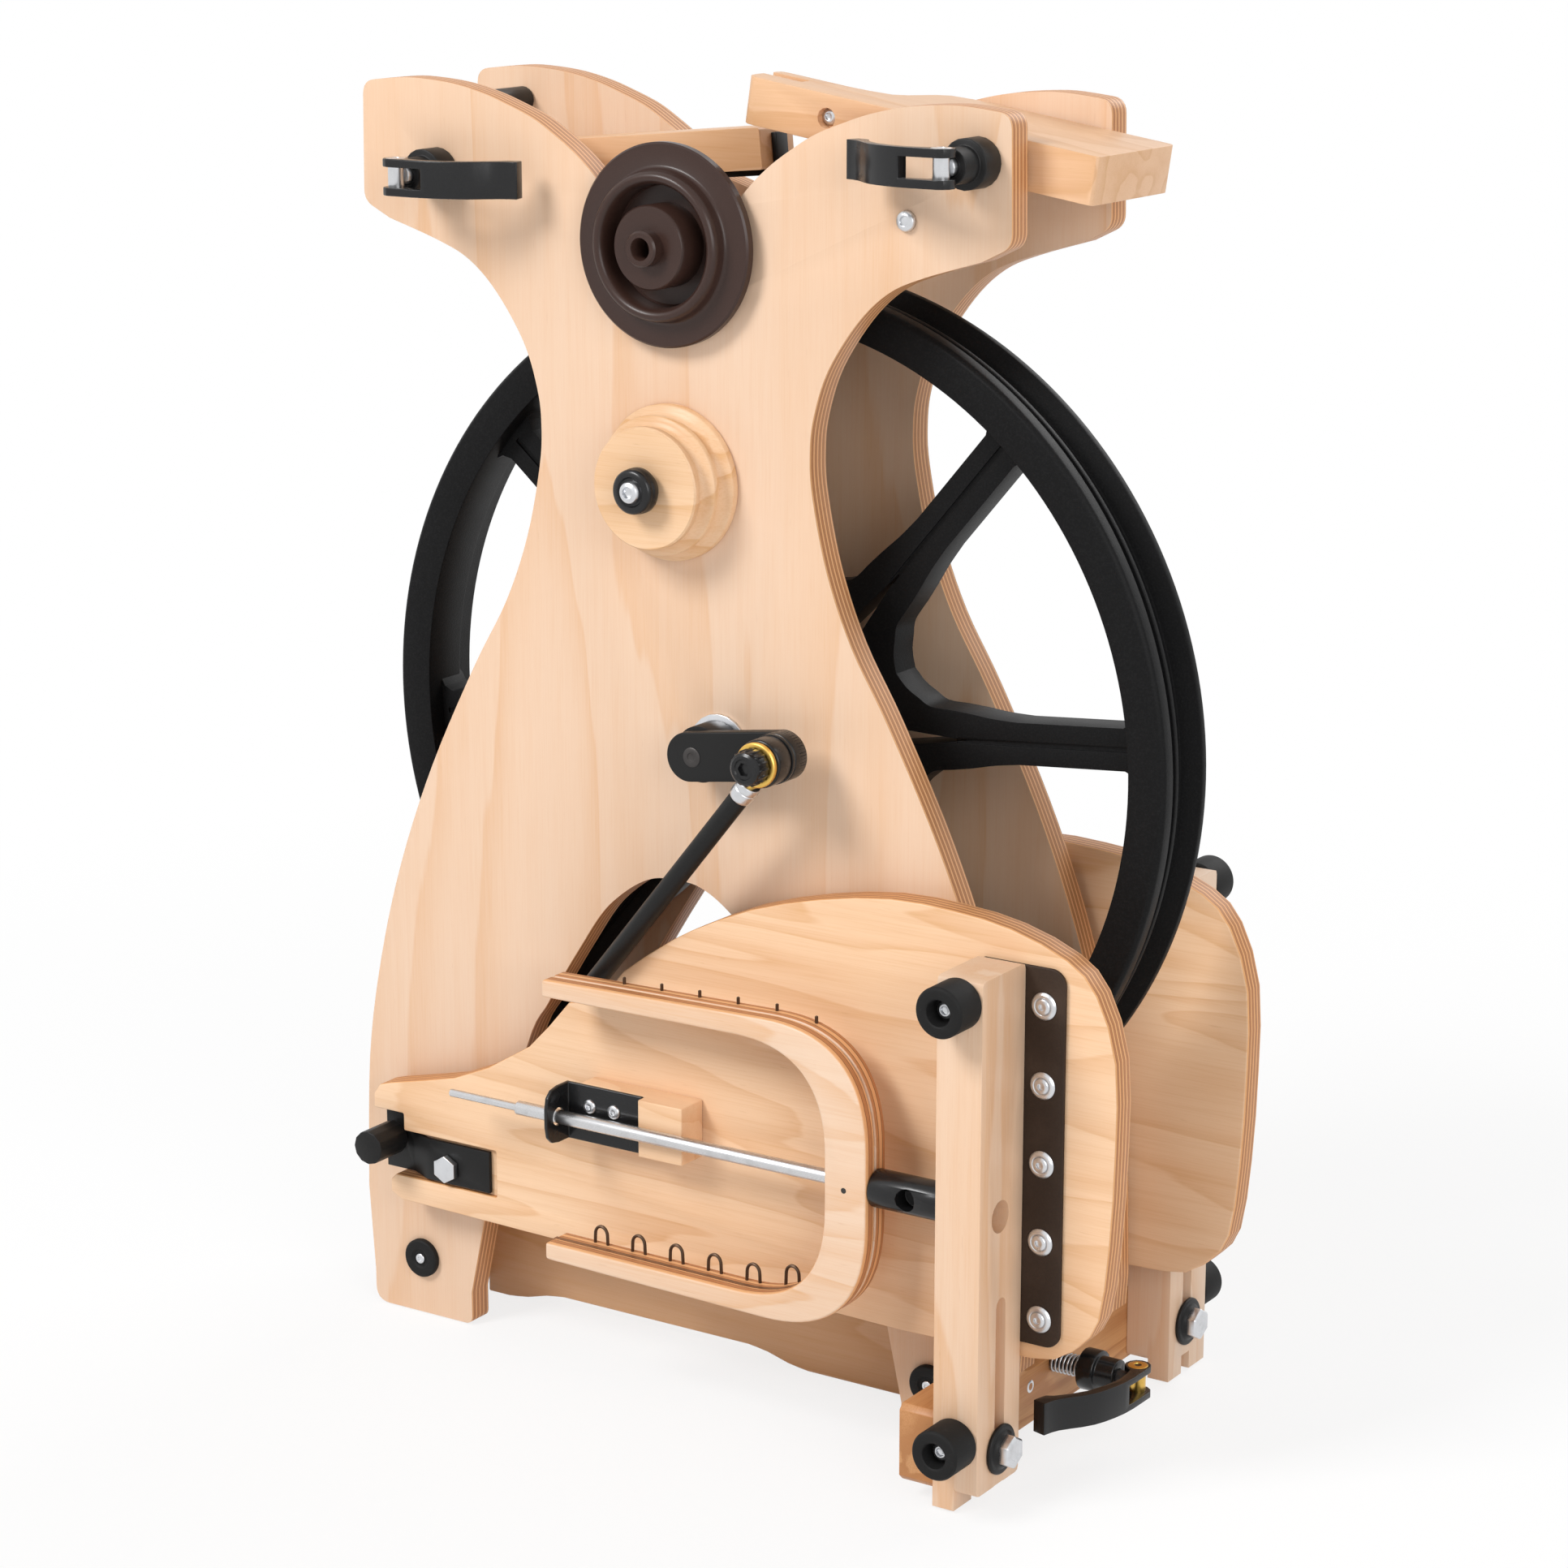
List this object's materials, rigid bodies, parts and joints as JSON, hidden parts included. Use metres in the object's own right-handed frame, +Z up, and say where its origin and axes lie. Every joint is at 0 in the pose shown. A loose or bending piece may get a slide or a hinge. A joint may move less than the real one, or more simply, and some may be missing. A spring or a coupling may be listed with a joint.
{
  "type": "travel spinning wheel",
  "caption": "Folded travel spinning wheel: hourglass plywood panels round a black spoked drive wheel, double treadle folded up, flyer stored on the front treadle.",
  "frame": {"origin": "on the floor under the middle of the whole length, midway between the two panels", "axes": "+Z up; the front panel, with the stored flyer, faces -Y; the treadle bars stand at the +X end"},
  "size_m": [0.4115, 0.2426, 0.5877],
  "materials": {
    "maple": "clear satin varnish on birch plywood",
    "wood": "clear satin varnish on solid wood and plywood",
    "dark_wood": "clear varnish on a darker solid wood",
    "leather": "dark brown, matt",
    "black_plastic": "satin to fine-textured black",
    "brown_plastic": "satin dark brown",
    "rubber": "matt black",
    "steel": "zinc plated"
  },
  "bodies": {
    "frame": {"front_panel": "maple", "rear_panel": "maple", "base_rail": "dark_wood", "left_crossbeam": "wood", "right_crossbeam": "dark_wood", "carry_tube": "black_plastic", "lobe_spacer": "steel", "front_bearing": "steel", "rear_bearing": "steel", "front_left_foot_pad": "rubber", "front_right_foot_pad": "rubber", "rear_left_foot_pad": "rubber", "rear_right_foot_pad": "rubber", "whorl_peg": "dark_wood", "whorl_stud": "steel", "wooden_whorl": "wood", "clamp_rod": "steel", "clamp_spring": "steel", "clamp_barrel": "black_plastic", "left_release_rod": "steel", "right_release_rod": "steel", "left_release_base": "black_plastic", "right_release_base": "black_plastic"},
    "wheel": {"drive_wheel": "black_plastic", "axle": "steel", "front_crank": "black_plastic", "rear_crank": "black_plastic"},
    "front_footman_body": {"front_footman": "black_plastic"},
    "rear_footman_body": {"rear_footman": "black_plastic"},
    "left_release_lever_body": {"left_release_lever": "black_plastic"},
    "right_release_lever_body": {"right_release_lever": "black_plastic"},
    "clamp_lever_body": {"clamp_lever": "black_plastic"},
    "front_maiden_body": {"front_maiden": "wood"},
    "rear_maiden_body": {"rear_maiden": "wood", "rear_maiden_bracket": "black_plastic"},
    "flyer_whorl_body": {"flyer_whorl": "brown_plastic"},
    "whorl_knob_body": {"whorl_knob": "black_plastic"},
    "flyer": {"flyer_yoke": "wood", "flyer_shaft": "steel", "orifice_tube": "black_plastic"},
    "front_pivot": {"front_pivot_bolt": "steel"},
    "front_bar_body": {"front_bar": "maple", "front_upper_foot": "rubber", "front_lower_foot": "rubber"},
    "front_treadle": {"front_board": "maple", "front_hinge_strip": "leather", "front_toe_strap": "black_plastic", "front_toe_bolt": "steel", "front_toe_knob": "black_plastic", "storage_block": "wood", "shaft_bracket": "black_plastic"},
    "rear_pivot": {"rear_pivot_bolt": "steel"},
    "rear_bar_body": {"rear_bar": "maple", "rear_upper_foot": "rubber", "rear_lower_foot": "rubber"},
    "rear_treadle": {"rear_board": "maple", "rear_hinge_strip": "leather", "rear_toe_strap": "black_plastic", "rear_toe_bolt": "steel", "rear_toe_knob": "black_plastic"}
  },
  "joints": [
    {"name": "wheel_spin", "type": "hinge", "parent": "frame", "child": "wheel", "pos_m": [-0.0024, 0, 0.3], "axis": [0, 1, 0], "continuous": true},
    {"name": "front_footman_turn", "type": "hinge", "parent": "wheel", "child": "front_footman_body", "pos_m": [0.04217, -0.0804, 0.30618], "axis": [0, 1, 0], "continuous": true},
    {"name": "rear_footman_turn", "type": "hinge", "parent": "wheel", "child": "rear_footman_body", "pos_m": [-0.04697, 0.0804, 0.29381], "axis": [0, 1, 0], "continuous": true},
    {"name": "left_release_turn", "type": "hinge", "parent": "frame", "child": "left_release_lever_body", "pos_m": [-0.1504, -0.078, 0.541], "axis": [0, 0, -1], "range_deg": [0, 90]},
    {"name": "right_release_turn", "type": "hinge", "parent": "frame", "child": "right_release_lever_body", "pos_m": [0.1246, -0.078, 0.559], "axis": [0, 0, 1], "range_deg": [0, 90]},
    {"name": "clamp_lever_turn", "type": "hinge", "parent": "frame", "child": "clamp_lever_body", "pos_m": [0.1838, 0, 0.0305], "axis": [0, 0, 1], "range_deg": [0, 90]},
    {"name": "front_maiden_turn", "type": "hinge", "parent": "frame", "child": "front_maiden_body", "pos_m": [0.1246, 0, 0.559], "axis": [0, 1, 0], "range_deg": [0, 81.4]},
    {"name": "rear_maiden_turn", "type": "hinge", "parent": "frame", "child": "rear_maiden_body", "pos_m": [-0.1504, 0, 0.541], "axis": [0, -1, 0], "range_deg": [0, 83.9]},
    {"name": "flyer_whorl_pull", "type": "slide", "parent": "frame", "child": "flyer_whorl_body", "axis": [0, -1, 0], "range_m": [0, 0.02]},
    {"name": "whorl_knob_turn", "type": "hinge", "parent": "frame", "child": "whorl_knob_body", "pos_m": [-0.0264, -0.075, 0.4146], "axis": [0, -1, 0], "continuous": true},
    {"name": "front_fold", "type": "hinge", "parent": "frame", "child": "front_pivot", "pos_m": [0.1526, -0.085, 0.025], "axis": [1, 0, 0], "range_deg": [0, 90]},
    {"name": "front_bar_slide", "type": "slide", "parent": "front_pivot", "child": "front_bar_body", "axis": [0, 0, -1], "range_m": [0, 0.05]},
    {"name": "front_treadle_turn", "type": "hinge", "parent": "front_bar_body", "child": "front_treadle", "pos_m": [0.1631, -0.06735, 0.15], "axis": [0, 0, -1], "range_deg": [0, 7.1]},
    {"name": "rear_fold", "type": "hinge", "parent": "frame", "child": "rear_pivot", "pos_m": [0.1526, 0.085, 0.025], "axis": [-1, 0, 0], "range_deg": [0, 90]},
    {"name": "rear_bar_slide", "type": "slide", "parent": "rear_pivot", "child": "rear_bar_body", "axis": [0, 0, -1], "range_m": [0, 0.05]},
    {"name": "rear_treadle_turn", "type": "hinge", "parent": "rear_bar_body", "child": "rear_treadle", "pos_m": [0.1631, 0.06735, 0.15], "axis": [0, 0, 1], "range_deg": [0, 7.1]},
    {"name": "flyer_slide", "type": "slide", "parent": "front_treadle", "child": "flyer", "axis": [-1, 0, 0], "range_m": [0, 0.02]}
  ],
  "couplings": [
    {"joint": "front_footman_turn", "follows": "wheel_spin", "ratio": -1},
    {"joint": "rear_footman_turn", "follows": "wheel_spin", "ratio": -1},
    {"joint": "front_bar_slide", "follows": "front_fold", "m_per_rad": 0.0318},
    {"joint": "front_treadle_turn", "follows": "front_fold", "ratio": 0.0778},
    {"joint": "rear_bar_slide", "follows": "rear_fold", "m_per_rad": 0.0318},
    {"joint": "rear_treadle_turn", "follows": "rear_fold", "ratio": 0.0778}
  ]
}
